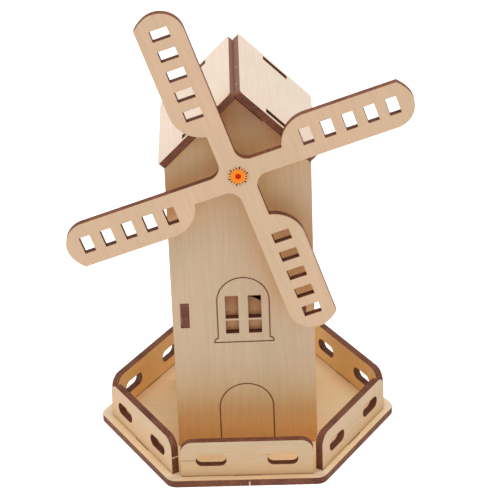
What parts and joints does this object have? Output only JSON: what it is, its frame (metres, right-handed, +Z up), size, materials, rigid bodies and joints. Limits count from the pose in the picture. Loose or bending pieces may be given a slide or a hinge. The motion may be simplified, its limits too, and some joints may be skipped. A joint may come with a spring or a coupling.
{
  "type": "wooden model windmill puzzle",
  "caption": "Laser-cut plywood puzzle windmill: hexagonal fenced yard, square tower with gabled two-panel roof, and pierced sails that turn by hand on a dowel.",
  "frame": {"origin": "middle of the underside of the base plate", "axes": "+Z up, -Y out of the front wall towards the sail, +X to the right seen from the front"},
  "size_m": [0.1342, 0.1076, 0.1967],
  "materials": {
    "base_ply": "bare sheet with charred edges",
    "fence_ply": "bare sheet with charred edges",
    "wall_ply": "bare sheet with charred edges",
    "roof_ply": "bare sheet with charred edges",
    "sail_ply": "bare sheet with charred edges",
    "small_wood": "bare wood",
    "badge_paint": "painted orange with a red centre"
  },
  "bodies": {
    "mill": {"base_plate": "base_ply", "fence_front": "fence_ply", "fence_front_right": "fence_ply", "fence_back_right": "fence_ply", "fence_back": "fence_ply", "fence_back_left": "fence_ply", "fence_front_left": "fence_ply", "front_wall": "wall_ply", "window_back": "wall_ply", "back_wall": "wall_ply", "right_wall": "wall_ply", "left_wall": "wall_ply", "roof_right": "roof_ply", "roof_left": "roof_ply", "inner_washer": "small_wood"},
    "sails": {"sail_rotor": "sail_ply", "sun_badge": "badge_paint", "axle_dowel": "small_wood", "outer_washer": "small_wood", "axle_collar": "small_wood"}
  },
  "joints": [
    {"name": "sail_spin", "type": "hinge", "parent": "mill", "child": "sails", "pos_m": [0, -0.027, 0.1296], "axis": [0, 1, 0], "continuous": true}
  ]
}
